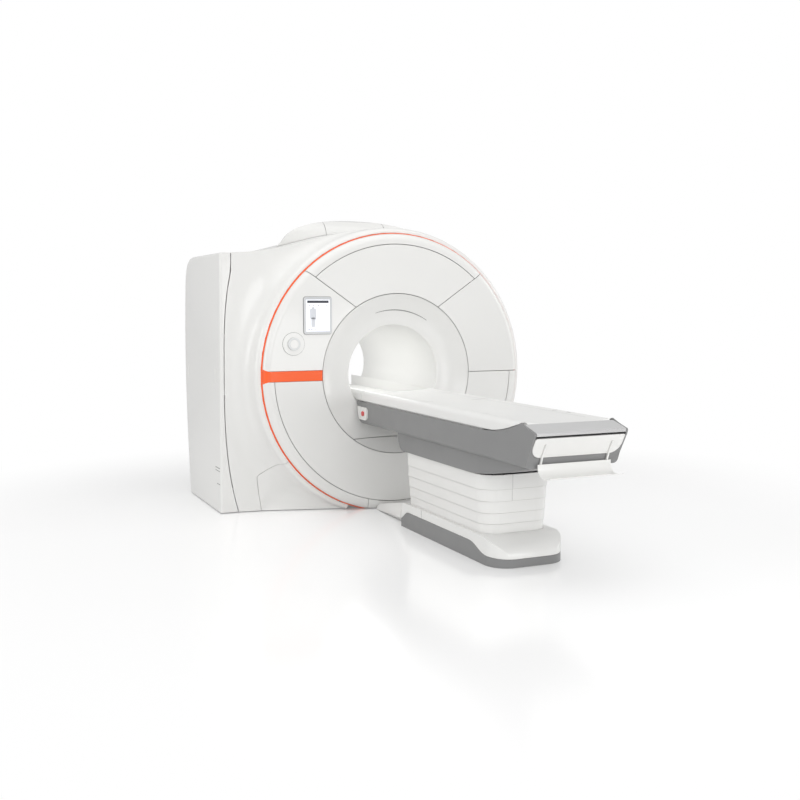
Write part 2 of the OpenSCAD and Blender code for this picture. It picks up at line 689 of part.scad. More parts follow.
// Upper line of the fairing: a ramp from the gantry, level beside the covers, then down to the foot.
ramp_z = 40;
function ramp(y) = lerp(ramp_z, base_z, min(1, -y / (cover_y0 + 10)));
deck_line = concat([[20 - base_y0, ramp(20 - base_y0)], [-cover_y0 - 10, base_z], [-cover_y1 - 10, base_z]],
    bezier([[-cover_y1 - 20, base_z - 2], [-cover_y1 - 70, base_z - 20], [6 - base_y1, base_z - 35],
        [-base_y1 - 1, kick_foot]], 8));
duct_w = 120;
duct_h = 28;
frame_h = 30;
module duct_plate() {
    color("dimgray") box(-duct_w, duct_w, -base_y0 - 16, magnet_y0 - 20, 0, duct_h);
}
module base_frame() {
    color("darkgray") difference() {
        prism_z(rounded(base_w - base_t - 4, -base_y1 + 30, -base_y0 - 20, 100, 10), 0, frame_h);
        for (y = column_y) translate([0, y, -1]) cylinder(d = 90, h = 100);
    }
}
module base_shell() {
    difference() {
        prism_z(plan, 0, base_z);
        intersection() {
            prism_z(inner_plan, -1, base_z - base_t);
            prism_x(concat([for (p = deck_line) [p[0], p[1] - base_t]], [[-base_y1 - 1, -1], [0, -1]]),
                -base_w, base_w);
        }
        box(-duct_w - 4, duct_w + 4, -base_y0 - 18, 0, -1, duct_h + 2);
    }
}
module kick_plate() {
    color(grey) intersection() {
        base_shell();
        prism_x(concat([[20 - base_y0, 0]], kick_line, [[-base_y1 - 20, 0]]), -base_w - 1, base_w + 1);
    }
}
well = rounded(cover_w - 18, -cover_y1 + 18, -cover_y0 - 18, 100, 40);
module base_fairing() {
    up = [for (p = kick_line) [p[0], p[1] + 2]];
    color(white) difference() {
        intersection() {
            base_shell();
            prism_x(concat(deck_line, [for (i = [len(up) - 1:-1:0]) up[i]]), -base_w - 1, base_w + 1);
        }
        prism_z(well, 0, base_z + 1);
    }
}
// The low ramp from the base to the gantry: wide at the base, narrow at the gantry.
// One cut across it holds the half widths w at four heights up to z.
module ramp_cut(w, z, t, y) {
    half = [for (i = [0:3]) [w[i] - t, i == 0 ? -t : z * [0, 0.35, 0.68, 1][i] - (i == 3 ? t : 0)]];
    prism_y(concat(half, [for (i = [3:-1:0]) [-half[i][0], half[i][1]]]), y - 0.5, y + 0.5);
}
module ramp_form(t) {
    hull() {
        ramp_cut([176, base_w - 4, base_w - 7, base_w - 36], ramp(3 - base_y0) - 2, t, 3.5 - base_y0 + t);
        ramp_cut([176, 170, 162, 150], ramp_z, t, -6.5 - t);
    }
}
module base_front_cover() {
    color(white) difference() {
        ramp_form(0);
        ramp_form(base_t);
        box(-duct_w - 4, duct_w + 4, -base_y0, 0, -1, duct_h + 2);
    }
}

// ---- lift ----
column_y = [-900, -1420];
guide_z = [frame_h, 255];
mid_z = [175, 375];
inner_z = [300, carrier_z];
module each_column() { for (y = column_y) translate([0, y, 0]) children(); }
module tube(d1, d0, z) {
    translate([0, 0, z[0]]) difference() {
        cylinder(d = d1, h = z[1] - z[0]);
        translate([0, 0, -1]) cylinder(d = d0, h = z[1] - z[0] + 2);
    }
}
mid_d = guide_d - 2 * tube_t - 2 * fit;
inner_d = mid_d - 2 * tube_t - 2 * fit;
module lift_guides() { color("silver") each_column() tube(guide_d, guide_d - 2 * tube_t, guide_z); }
module lift_tubes() { color("gainsboro") each_column() tube(mid_d, mid_d - 2 * tube_t, mid_z); }
module lift_columns() { color("silver") each_column() tube(inner_d, inner_d - 2 * tube_t, inner_z); }
module lift_drive() {
    y = (column_y[0] + column_y[1]) / 2;
    color("dimgray") translate([0, y, frame_h]) {
        cylinder(d = 130, h = 120);
        translate([0, 0, 120]) cylinder(d = 60, h = 60);
    }
}

// Lower edges of the telescopic covers, from the widest down.
cover_edges = [421, 351, 282, 218, 171];
cover_top = carrier_z - 2;
module cover(i) {
    w = cover_w - cover_step * i;
    y0 = cover_y0 + cover_step * i;
    y1 = cover_y1 - cover_step * i;
    z0 = i == 4 ? frame_h : cover_edges[i];
    z1 = i == 0 ? cover_top : cover_edges[i - 1] + cover_lap;
    color(white) difference() {
        prism_z(rounded(w, -y1, -y0, 120 - cover_step * i, 60 - cover_step * i), z0, z1);
        prism_z(rounded(w - cover_t, -y1 + cover_t, -y0 - cover_t, 117 - cover_step * i,
            57 - cover_step * i), z0 - 1, z1 + 1);
    }
}
module cover_1() { cover(0); }
module cover_2() { cover(1); }
module cover_3() { cover(2); }
module cover_4() { cover(3); }
module cover_5() { cover(4); }

// ---- table, upper part ----
foot_y = -top_len - foot_out;
rise_y = rise_len - top_len;
carrier_end = foot_y + 85;
function carrier_side(t) = concat(
    [[-carrier_y0 - t, housing_z0]],
    bezier([[-carrier_y0 - t, housing_z0 - 20], [-carrier_y0 - 10, carrier_z + t + 30],
        [-carrier_y0 - 40, carrier_z + t], [-carrier_y0 - 90, carrier_z + t]], 8),
    bezier([[150 - cover_y1, carrier_z + t], [-cover_y1 - 80, carrier_z + 12 + t],
        [carrier_end + 200, carrier_z + 70 + t], [carrier_end + t, housing_z0]], 10));
module carrier() {
    color(grey) difference() {
        prism_x(carrier_side(0), -carrier_w, carrier_w);
        prism_x([for (p = carrier_side(table_t)) [p[0], p[1] + (p[1] == housing_z0 ? 1 : 0)]],
            -carrier_w + table_t, carrier_w - table_t);
    }
}

// Lower edge of the rails: level, then rising to their crest towards the foot.
rim_rise = bezier([[rise_y, top_z0], [255 - top_len, top_z0], [115 - top_len, top_z0 + 40],
    [15 - top_len, top_z0 + 81]], 8);
// The slanting end face, from the slot below the end cap down to the carrier.
end_top = [foot_y + 6, top_z0 + 7];
end_low = [foot_y + 68, 690];
end_foot = [foot_y + 82, 655];
housing_side = concat([[-head_gap, housing_z0], [-head_gap, top_z0 - rim_gap]],
    [for (p = rim_rise) [p[0], p[1] - rim_gap]],
    [[-top_len - 39, top_z0 + 57], [foot_y + 3, top_z0 + 34], [foot_y, top_z0 + 26], end_top,
     end_low, end_foot, [foot_y + 86, housing_z0]]);
// A strip along the slanting end face, from a to b outside it.
function end_strip(a, b) = [[end_top[0] - a, end_top[1] + 1], [end_top[0] - b, end_top[1] + 1],
    [end_low[0] - b, end_low[1]], [end_foot[0] - b, end_foot[1]], [end_foot[0] - a, end_foot[1]],
    [end_low[0] - a, end_low[1]]];
function housing_section(t) = let (w = table_w - 1 - t, z0 = housing_z0 + t) concat(
    arc([-w + 30, z0 + 30], 30, 180, 270), arc([w - 30, z0 + 30], 30, 270, 360),
    [[w, top_z1 + 30], [-w, top_z1 + 30]]);
cap_w = table_w - 13;
module table_housing() {
    inner_side = [[-head_gap - table_t, housing_z0], [-head_gap - table_t, 1000], [-top_len - 3, 1000],
        [-top_len - 3, top_z0 - 20], [foot_y + 95, top_z0 - 20], [foot_y + 95, housing_z0]];
    color(grey) difference() {
        intersection() {
            prism_y(housing_section(0), -big, 0);
            prism_x(housing_side, -table_w, table_w);
        }
        intersection() {
            prism_y(housing_section(table_t), -big, 0);
            prism_x(inner_side, -table_w, table_w);
        }
        box(-cap_w - 2, cap_w + 2, foot_y - 10, -top_len, end_top[1], big);
        intersection() {
            prism_y(rounded(cap_w + 2, 686, end_top[1], 62, 4), foot_y - 10, foot_y + 90);
            prism_x(end_strip(10, -10), -table_w, table_w);
        }
    }
}
// The rails that guide the tabletop; their outer sides are the white rim of the table.
module table_rails() {
    side = concat([[-head_gap - 3, top_z0 - 1], [rise_y, top_z0 - 1]], rim_rise,
        [[15 - top_len, top_z1 + 10], [-head_gap - 3, top_z1 + 10]]);
    color(white) intersection() {
        for (s = [-1, 1]) scale([s, 1, 1]) {
            prism_y(concat(rail_side, [[rail_in, top_z0]]), -big, 0);
        }
        prism_x(side, -table_w - 1, table_w + 1);
    }
    color(white) for (s = [-1, 1]) translate([s * (table_w - 20), 0, 0]) {
        box(-6, 6, rise_y, -head_gap - 10, top_z0 - 20, top_z0 + 1);
    }
}
// The cap that closes the foot end of the track, over a slot.
module end_cap() {
    y1 = -top_len - 2;
    color("lightgray") prism_x([[y1, top_z0 + 68], [foot_y + 2, top_z0 + 36], [foot_y, top_z0 + 32],
        [foot_y, top_z0 + 17], [foot_y + 10, top_z0 + 17], [foot_y + 11, top_z0 + 26],
        [y1 - 8, top_z0 + 56], [y1 - 8, end_top[1] + 0.3], [y1, end_top[1] + 0.3]], -cap_w, cap_w);
}
module end_panel() {
    color(white) intersection() {
        prism_y(rounded(cap_w, 688, end_top[1] - 2, 60, 10), foot_y - 20, foot_y + 90);
        prism_x(end_strip(3, -10), -table_w, table_w);
    }
}
// The tray hangs on two arms that come off the end panel.
module paper_tray() {
    t = 4;
    outer = bezier([[end_foot[0] - 14, 652], [end_foot[0] - 10, 592], [foot_y + 35, 566],
        [foot_y - 53, 592]], 10);
    inner = [for (i = [10:-1:0]) outer[i] + [-t * (1 - i / 14), t * (i / 10)]];
    arm = [[lerp(end_low[0], end_top[0], 0.65), 760], end_low, [end_foot[0], 648]];
    color(white) {
        prism_x(concat(outer, inner), -228, 228);
        for (x = [-207, 207]) prism_x(concat([for (p = arm) p - [3.5, 0]],
            [for (i = [2:-1:0]) arm[i] - [14, 0]]), x - 4.5, x + 4.5);
    }
}

// The belt drive of the tabletop, in the housing.
module feed_drive() {
    color("dimgray") {
        box(-40, 40, rise_y - 240, rise_y - 120, housing_z0 + table_t, 740);
        box(-14, 14, rise_y - 120, -60, 700, 704);
    }
}
module track_rollers() {
    wall = table_w - 1 - table_t;
    color("black") for (i = [0:4], s = [-1, 1]) {
        translate([s * wall, lerp(-120, rise_y + 40, i / 4), top_z0 - 30]) rotate([0, -90 * s, 0]) {
            cylinder(d = 16, h = 100);
            translate([0, 0, 66]) cylinder(d = 58, h = 30);
        }
    }
}

// Emergency-stop switches: a low housing on each table side with a press button in its bore.
estop_y = -68;
estop_z = 707;
estop_d = 34;
estop_h = 12;
module at_estop(side) {
    translate([side * (table_w - 1), estop_y, estop_z]) rotate([0, 90 * side, 0]) children();
}
module estop_housings() {
    color(white) for (s = [-1, 1]) difference() {
        at_estop(s) translate([0, 0, estop_h / 2]) linear_extrude(estop_h, center = true)
            polygon(rounded(45, -60, 50, 30, 4));
        at_estop(s) translate([0, 0, 4]) cylinder(d = estop_d + 0.6, h = 20);
    }
}
module estop(side) { color("red") at_estop(side) translate([0, 0, 8.2]) cylinder(d = estop_d, h = 12); }
module estop_left() { estop(-1); }
module estop_right() { estop(1); }

// ---- tabletop ----
// The board: a shallow dish on top, rolled down at the foot.
module tabletop() {
    w = board_w;
    dish = w - 8;
    section = concat([[-w, top_z0], [w, top_z0], [w, top_z1]],
        [for (i = [0:14]) let (x = lerp(dish, -dish, i / 14)) [x, top_z1 - 16 + 16 * pow(x / dish, 2)]],
        [[-w, top_z1]]);
    side = [[-head_gap - 3, top_z0 - 1], [-top_len, top_z0 - 1], [-top_len, top_z1 - 8],
        [8 - top_len, top_z1 - 3], [20 - top_len, top_z1 + 1], [-head_gap - 3, top_z1 + 1]];
    color(white) intersection() {
        prism_y(section, -big, 0);
        prism_x(side, -w - 1, w + 1);
    }
}

magnet();
magnet_feet();
cold_head();
gradient_coil();
body_coil();
tunnel_liner();
front_funnel();
lower_funnel();
rear_funnel();
front_top_panel();
front_top_rim();
front_left_panel();
front_right_panel();
front_lower_panel();
lower_rims();
light_ring();
light_band();
left_shroud();
right_shroud();
corner_door();
left_cover();
right_cover();
upper_cover();
rear_cover();
rear_housing();
turret_cover();
turret_side_covers();
display_bezel();
display_screen();
knob_housing();
knob_ring();
knob_button();
dock_cradle();
bore_bridge();
duct_plate();
base_frame();
kick_plate();
base_fairing();
base_front_cover();
lift_guides();
lift_tubes();
lift_columns();
lift_drive();
cover_1();
cover_2();
cover_3();
cover_4();
cover_5();
carrier();
table_housing();
table_rails();
end_cap();
end_panel();
paper_tray();
feed_drive();
track_rollers();
estop_housings();
estop_left();
estop_right();
tabletop();
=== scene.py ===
# %% [markdown]
# # A closed-bore MRI scanner, dressed around its engineering model
#
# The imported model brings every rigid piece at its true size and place. This script gives those
# pieces their finish, rounds their edges, adds the details that are too small for the
# engineering model, and sets up a white studio with a camera in front.

# %% Load the engineering model and keep its box
import json
import math

import bmesh
import bpy
from mathutils import Matrix, Vector
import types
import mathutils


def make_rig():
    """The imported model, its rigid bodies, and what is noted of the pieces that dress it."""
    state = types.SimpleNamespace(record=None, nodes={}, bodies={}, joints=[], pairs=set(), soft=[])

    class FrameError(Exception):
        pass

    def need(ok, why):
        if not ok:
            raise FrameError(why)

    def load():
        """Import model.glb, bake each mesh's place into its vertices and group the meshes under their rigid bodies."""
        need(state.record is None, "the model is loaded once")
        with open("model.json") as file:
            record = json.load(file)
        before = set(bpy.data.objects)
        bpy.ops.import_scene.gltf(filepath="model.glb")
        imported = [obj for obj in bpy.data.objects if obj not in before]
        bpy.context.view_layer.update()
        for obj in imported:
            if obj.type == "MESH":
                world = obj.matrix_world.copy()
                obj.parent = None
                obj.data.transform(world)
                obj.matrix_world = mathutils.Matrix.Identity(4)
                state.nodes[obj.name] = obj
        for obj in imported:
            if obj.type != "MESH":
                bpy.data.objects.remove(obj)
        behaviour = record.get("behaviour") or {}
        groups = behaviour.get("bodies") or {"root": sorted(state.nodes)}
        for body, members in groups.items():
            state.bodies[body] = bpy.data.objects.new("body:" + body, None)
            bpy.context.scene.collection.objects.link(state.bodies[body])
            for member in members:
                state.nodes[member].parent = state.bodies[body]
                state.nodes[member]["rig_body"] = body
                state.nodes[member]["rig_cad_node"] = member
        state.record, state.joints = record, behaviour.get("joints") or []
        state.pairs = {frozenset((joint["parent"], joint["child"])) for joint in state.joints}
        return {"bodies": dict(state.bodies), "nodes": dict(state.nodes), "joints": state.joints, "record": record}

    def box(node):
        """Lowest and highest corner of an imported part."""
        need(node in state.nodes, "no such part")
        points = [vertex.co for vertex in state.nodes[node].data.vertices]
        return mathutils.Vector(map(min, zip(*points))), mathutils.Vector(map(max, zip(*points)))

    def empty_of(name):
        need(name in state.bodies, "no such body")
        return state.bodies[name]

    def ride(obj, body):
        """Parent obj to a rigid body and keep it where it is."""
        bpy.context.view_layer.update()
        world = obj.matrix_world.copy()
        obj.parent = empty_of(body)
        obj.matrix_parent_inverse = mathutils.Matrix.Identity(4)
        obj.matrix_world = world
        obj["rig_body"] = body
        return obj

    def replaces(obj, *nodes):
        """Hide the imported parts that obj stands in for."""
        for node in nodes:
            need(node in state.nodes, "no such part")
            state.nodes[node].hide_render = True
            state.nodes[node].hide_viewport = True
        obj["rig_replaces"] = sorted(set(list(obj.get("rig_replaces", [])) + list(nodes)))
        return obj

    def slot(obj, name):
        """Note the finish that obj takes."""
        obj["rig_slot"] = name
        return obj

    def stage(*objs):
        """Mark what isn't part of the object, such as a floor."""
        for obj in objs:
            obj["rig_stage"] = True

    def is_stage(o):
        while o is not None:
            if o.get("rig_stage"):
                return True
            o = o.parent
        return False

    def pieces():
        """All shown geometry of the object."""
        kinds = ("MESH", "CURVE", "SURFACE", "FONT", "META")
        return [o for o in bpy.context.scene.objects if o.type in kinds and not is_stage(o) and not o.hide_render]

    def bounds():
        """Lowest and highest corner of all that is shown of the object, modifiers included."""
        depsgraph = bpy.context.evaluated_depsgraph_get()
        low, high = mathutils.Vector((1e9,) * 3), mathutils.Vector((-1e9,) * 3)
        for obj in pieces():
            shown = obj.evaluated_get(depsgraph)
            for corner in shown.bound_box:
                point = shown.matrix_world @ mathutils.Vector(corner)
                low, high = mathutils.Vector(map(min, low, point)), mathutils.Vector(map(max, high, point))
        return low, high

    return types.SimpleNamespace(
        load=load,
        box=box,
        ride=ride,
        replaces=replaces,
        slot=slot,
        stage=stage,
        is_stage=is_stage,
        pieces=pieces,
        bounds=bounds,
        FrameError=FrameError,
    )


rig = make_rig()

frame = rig.load()
cad_box = [list(corner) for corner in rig.bounds()]
nodes = frame["nodes"]
print("nodes:", len(nodes), "bodies:", len(frame["bodies"]))
for name in sorted(nodes):
    low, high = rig.box(name)
    print(f"  {name}: {[round(v, 3) for v in low]} to {[round(v, 3) for v in high]}")

# %% [markdown]
# ## Node helpers
#
# Each finish below is a short recipe of shader nodes. Two helpers keep the recipes readable:
# one starts a material around a Principled shader, the other adds a node and sets its inputs.

# %% Helpers for materials
def add_node(tree, kind, **inputs):
    """Adds a shader node and sets its inputs by name, with _ for a space."""
    made = tree.nodes.new(kind)
    for key, value in inputs.items():
        made.inputs[key.replace("_", " ")].default_value = value
    return made


def new_material(name, color, roughness, metallic=0.0, coat=0.0, coat_roughness=0.1, specular=0.5):
    """A material with one Principled shader. Uniform values go straight to its sockets."""
    material = bpy.data.materials.new(name)
    material.use_nodes = True
    shader = material.node_tree.nodes["Principled BSDF"]
    shader.inputs["Base Color"].default_value = (*color, 1.0)
    shader.inputs["Roughness"].default_value = roughness
    shader.inputs["Metallic"].default_value = metallic
    shader.inputs["Coat Weight"].default_value = coat
    shader.inputs["Coat Roughness"].default_value = coat_roughness
    shader.inputs["Specular IOR Level"].default_value = specular
    return material, material.node_tree, shader


def object_noise(tree, scale, detail=3.0, roughness=0.5):
    """A noise texture on Object coordinates, so a pattern stays put on its piece."""
    place = tree.nodes.new("ShaderNodeTexCoord")
    noise = add_node(tree, "ShaderNodeTexNoise", Scale=scale, Detail=detail, Roughness=roughness)
    tree.links.new(place.outputs["Object"], noise.inputs["Vector"])
    return noise


def vary_roughness(tree, shader, noise, low, high):
    """Lets the gloss wander a little between two roughness values."""
    ramp = add_node(tree, "ShaderNodeMapRange", From_Min=0.3, From_Max=0.7, To_Min=low, To_Max=high)
    tree.links.new(noise.outputs["Fac"], ramp.inputs["Value"])
    tree.links.new(ramp.outputs["Result"], shader.inputs["Roughness"])


def add_bump(tree, shader, noise, strength, distance):
    """Raises the surface slightly where the noise is high."""
    bump = add_node(tree, "ShaderNodeBump", Strength=strength, Distance=distance)
    tree.links.new(noise.outputs["Fac"], bump.inputs["Height"])
    tree.links.new(bump.outputs["Normal"], shader.inputs["Normal"])


def vary_color(tree, shader, noise, first, second):
    """Blends two close colours by the noise."""
    mix = tree.nodes.new("ShaderNodeMix")
    mix.data_type = "RGBA"
    mix.inputs["A"].default_value = (*first, 1.0)
    mix.inputs["B"].default_value = (*second, 1.0)
    tree.links.new(noise.outputs["Fac"], mix.inputs["Factor"])
    tree.links.new(mix.outputs["Result"], shader.inputs["Base Color"])

# %% [markdown]
# ## Finishes
#
# The covers are glass-fibre mouldings sprayed with a warm white gloss paint. Sprayed paint has a
# faint orange peel and its gloss wanders a little, so the recipe adds a small change of roughness.
# The table is a satin version of the same paint, with grey skirts.

# %% Make the finishes
def cover_white():
    material, tree, shader = new_material("cover_white", (0.80, 0.795, 0.775), 0.3, coat=0.35,
        coat_roughness=0.08)
    vary_color(tree, shader, object_noise(tree, 1.6, 2.0), (0.79, 0.787, 0.768), (0.81, 0.808, 0.79))
    vary_roughness(tree, shader, object_noise(tree, 3.0, 1.0), 0.28, 0.33)
    return material


def tabletop_white():
    material, tree, shader = new_material("tabletop_white", (0.78, 0.78, 0.765), 0.4, coat=0.15,
        coat_roughness=0.2)
    vary_color(tree, shader, object_noise(tree, 2.5), (0.77, 0.77, 0.755), (0.79, 0.79, 0.775))
    vary_roughness(tree, shader, object_noise(tree, 4.0, 1.0), 0.36, 0.44)
    return material


def cover_grey():
    material, tree, shader = new_material("cover_grey", (0.226, 0.227, 0.227), 0.42, coat=0.1,
        coat_roughness=0.25)
    vary_color(tree, shader, object_noise(tree, 3.0), (0.219, 0.220, 0.220), (0.234, 0.235, 0.235))
    vary_roughness(tree, shader, object_noise(tree, 6.0, 1.0), 0.36, 0.48)
    return material


def light_grey():
    material, tree, shader = new_material("light_grey", (0.5, 0.5, 0.5), 0.36, coat=0.1)
    vary_color(tree, shader, object_noise(tree, 6.0), (0.49, 0.49, 0.49), (0.51, 0.51, 0.51))
    vary_roughness(tree, shader, object_noise(tree, 8.0, 1.0), 0.32, 0.42)
    return material


def dark_print():
    material, tree, shader = new_material("dark_print", (0.05, 0.055, 0.07), 0.45)
    vary_color(tree, shader, object_noise(tree, 30.0), (0.045, 0.05, 0.064), (0.056, 0.06, 0.078))
    return material


def figure_print():
    material, tree, shader = new_material("figure_print", (0.70, 0.72, 0.76), 0.4)
    vary_color(tree, shader, object_noise(tree, 30.0), (0.68, 0.70, 0.74), (0.72, 0.74, 0.78))
    return material


# Dark grey for real seams, and for painted shade in slots, gaps and creases.
def shadow_grey():
    material, tree, shader = new_material("shadow_grey", (0.26, 0.26, 0.25), 0.6)
    vary_color(tree, shader, object_noise(tree, 25.0), (0.24, 0.24, 0.235), (0.28, 0.28, 0.27))
    return material


def lit_orange():
    material, tree, shader = new_material("lit_orange", (0.84, 0.105, 0.014), 0.4, coat=0.1)
    shader.inputs["Emission Color"].default_value = (1.0, 0.12, 0.016, 1.0)
    shader.inputs["Emission Strength"].default_value = 0.12
    vary_color(tree, shader, object_noise(tree, 6.0), (0.83, 0.10, 0.013), (0.86, 0.11, 0.016))
    return material


def painted_steel():
    material, tree, shader = new_material("painted_steel", (0.5, 0.51, 0.52), 0.5)
    vary_color(tree, shader, object_noise(tree, 8.0), (0.47, 0.48, 0.49), (0.54, 0.55, 0.56))
    add_bump(tree, shader, object_noise(tree, 300.0), 0.1, 0.0004)
    return material


def dark_steel():
    material, tree, shader = new_material("dark_steel", (0.06, 0.06, 0.065), 0.5, metallic=0.3)
    vary_color(tree, shader, object_noise(tree, 12.0), (0.05, 0.05, 0.055), (0.075, 0.075, 0.08))
    add_bump(tree, shader, object_noise(tree, 260.0), 0.1, 0.0004)
    return material


def bright_steel():
    material, tree, shader = new_material("bright_steel", (0.62, 0.62, 0.63), 0.28, metallic=1.0)
    vary_roughness(tree, shader, object_noise(tree, 40.0), 0.2, 0.36)
    add_bump(tree, shader, object_noise(tree, 400.0), 0.05, 0.0002)
    return material


def cast_resin():
    material, tree, shader = new_material("cast_resin", (0.42, 0.25, 0.1), 0.45, coat=0.2)
    vary_color(tree, shader, object_noise(tree, 14.0), (0.36, 0.2, 0.08), (0.48, 0.3, 0.13))
    add_bump(tree, shader, object_noise(tree, 60.0), 0.2, 0.001)
    return material


def black_rubber():
    material, tree, shader = new_material("black_rubber", (0.02, 0.02, 0.02), 0.7)
    vary_color(tree, shader, object_noise(tree, 30.0), (0.016, 0.016, 0.016), (0.028, 0.028, 0.028))
    add_bump(tree, shader, object_noise(tree, 350.0), 0.2, 0.0004)
    return material


def bezel_white():
    material, tree, shader = new_material("bezel_white", (0.60, 0.61, 0.625), 0.3, coat=0.4)
    vary_color(tree, shader, object_noise(tree, 20.0), (0.59, 0.60, 0.615), (0.61, 0.62, 0.635))
    return material


def knob_grey():
    material, tree, shader = new_material("knob_grey", (0.68, 0.69, 0.69), 0.3, coat=0.3)
    vary_color(tree, shader, object_noise(tree, 20.0), (0.67, 0.68, 0.68), (0.69, 0.7, 0.7))
    return material


def stop_red():
    material, tree, shader = new_material("stop_red", (0.62, 0.02, 0.02), 0.3, coat=0.4)
    vary_color(tree, shader, object_noise(tree, 60.0), (0.6, 0.018, 0.02), (0.66, 0.024, 0.024))
    return material


def screen_glass():
    material, tree, shader = new_material("screen_glass", (0.55, 0.68, 0.82), 0.12, coat=0.6,
        coat_roughness=0.03)
    shader.inputs["Emission Strength"].default_value = 0.3
    place = tree.nodes.new("ShaderNodeTexCoord")
    split = tree.nodes.new("ShaderNodeSeparateXYZ")
    tree.links.new(place.outputs["Object"], split.inputs[0])
    low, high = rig.box("display_screen")
    fade = add_node(tree, "ShaderNodeMapRange", From_Min=low.z, From_Max=high.z)
    tree.links.new(split.outputs["Z"], fade.inputs["Value"])
    ramp = tree.nodes.new("ShaderNodeValToRGB")
    ramp.color_ramp.elements[0].color = (0.78, 0.80, 0.87, 1.0)
    ramp.color_ramp.elements[1].color = (0.84, 0.86, 0.90, 1.0)
    tree.links.new(fade.outputs["Result"], ramp.inputs["Fac"])
    tree.links.new(ramp.outputs["Color"], shader.inputs["Base Color"])
    tree.links.new(ramp.outputs["Color"], shader.inputs["Emission Color"])
    return material


finishes = {
    "cover_white": cover_white(),
    "tabletop_white": tabletop_white(),
    "grey_cover": cover_grey(),
    "lit_orange": lit_orange(),
    "vessel_steel": painted_steel(),
    "foot_steel": dark_steel(),
    "bright_steel": bright_steel(),
    "coil_resin": cast_resin(),
    "rollers": black_rubber(),
    "bezel": bezel_white(),
    "screen": screen_glass(),
    "knob_grey": knob_grey(),
    "stop_red": stop_red(),
    "light_grey": light_grey(),
}
print_dark = dark_print()
# Real seams and painted shade share this dark grey.
seam_and_shadow_grey = shadow_grey()
screen_print = figure_print()
print("finishes:", len(finishes))

# %% [markdown]
# ## Dress the engineering pieces
#
# The loaded meshes are loose triangles with hard, flat facets. Real mouldings have a small radius on
# every edge and smooth skins, because a sharp edge would chip and wouldn't leave the mould. Two
# modifiers do that without touching the mesh itself: Weld joins the triangles, and Bevel rounds the
# sharp edges only. Its hardened normals keep the flat faces flat.

# %% Give every engineering piece its finish and soft edges
slot_of = {row["node"]: row["material_slot"] for row in frame["record"]["subparts"]}
edge_radius = {"cover_white": 0.0025, "tabletop_white": 0.003, "grey_cover": 0.0025, "lit_orange": 0.001}
small_radius = 0.0012
same_spot = 0.00002
for name, piece in nodes.items():
    slot_name = slot_of[name]
    piece.data.materials.clear()
    piece.data.materials.append(finishes[slot_name])
    for custom in [a for a in piece.data.attributes if a.name == "custom_normal"]:
        piece.data.attributes.remove(custom)
    piece.data.polygons.foreach_set("use_smooth", [True] * len(piece.data.polygons))
    weld = piece.modifiers.new("weld", "WELD")
    weld.merge_threshold = same_spot
    bevel = piece.modifiers.new("edges", "BEVEL")
    bevel.limit_method = "ANGLE"
    bevel.angle_limit = math.radians(32)
    bevel.width = edge_radius.get(slot_name, small_radius)
    bevel.segments = 2
    bevel.harden_normals = True
    bevel.use_clamp_overlap = True
    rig.slot(piece, slot_name)
print("dressed:", len(nodes))

# %% [markdown]
# ## Rounded corner of the left side cover
#
# The tall side cover is one moulding, and its outer corners are rounded by about 18 mm. The
# engineering piece has them square, so a merged copy of its mesh gets the wider rounding on the
# edges around the outer face, and stands in for it. The edges of the recessed grip stay sharp, and
# so does the edge on the floor, which is a plain cut on the real cover.

# %% Side cover with rounded corners
def finish_piece(name, form, finish, slot_name, body, smooth=True):
    """Turns a bmesh into an object with a finish, and makes it ride on a body."""
    bmesh.ops.recalc_face_normals(form, faces=form.faces)
    mesh = bpy.data.meshes.new(name)
    form.to_mesh(mesh)
    form.free()
    mesh.materials.append(finish)
    mesh.polygons.foreach_set("use_smooth", [smooth] * len(mesh.polygons))
    piece = bpy.data.objects.new(name, mesh)
    bpy.context.scene.collection.objects.link(piece)
    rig.slot(piece, slot_name)
    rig.ride(piece, body)
    return piece


side_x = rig.box("left_cover")[0].x
corner_radius = 0.018
grip_bottom, grip_top = 0.915, 1.03
floor_edge_top = 0.01
on_face = 0.0004
form = bmesh.new()
form.from_mesh(nodes["left_cover"].data)
bmesh.ops.remove_doubles(form, verts=form.verts, dist=same_spot)
bmesh.ops.dissolve_limit(form, angle_limit=math.radians(0.5), verts=form.verts, edges=form.edges)
rim = []
for edge in form.edges:
    first, last = (vert.co for vert in edge.verts)
    outer = max(abs(first.x - side_x), abs(last.x - side_x)) < on_face
    at_grip = all(grip_bottom < spot.z < grip_top for spot in (first, last))
    on_floor = max(first.z, last.z) < floor_edge_top
    if outer and not at_grip and not on_floor and edge.calc_face_angle(0.0) > 0.5:
        rim.append(edge)
bmesh.ops.bevel(form, geom=rim, offset=corner_radius, segments=6, profile=0.5, affect="EDGES",
    material=-1)
print("side cover: rounded", len(rim), "edges")
side_cover = finish_piece("side_cover", form, finishes["cover_white"], "cover_white", "gantry")
soften = side_cover.modifiers.new("edges", "BEVEL")
soften.limit_method = "ANGLE"
soften.angle_limit = math.radians(40)
soften.width = 0.002
soften.segments = 2
soften.harden_normals = True
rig.replaces(side_cover, "left_cover")

# %% [markdown]
# ## Small details
#
# The engineering model stops at the parts that matter for motion. What is printed, cut or glued
# on is added here, such as the picture on the display and the seams of the fairing, and so is painted
# shade for slots, gaps and the lines on the skirts.
# Thin plates carry them, a fraction of a millimetre proud of the surface below. A plate renders
# as a clean line from any side, where a picture on the surface would blur when seen from close by.

# %% Helpers for small details
proud = 0.0004


def add_box(form, low, high):
    """Adds a box between two corners."""
    low, high = Vector(low), Vector(high)
    placing = Matrix.Translation((low + high) / 2) @ Matrix.Diagonal((*(high - low), 1.0))
    bmesh.ops.create_cube(form, size=1.0, matrix=placing)


def thicken(form, faces, step):
    """Extrudes flat faces by a step, so that they become a plate."""
    made = bmesh.ops.extrude_face_region(form, geom=faces)["geom"]
    bmesh.ops.translate(form, verts=[part for part in made if isinstance(part, bmesh.types.BMVert)],
        vec=step)


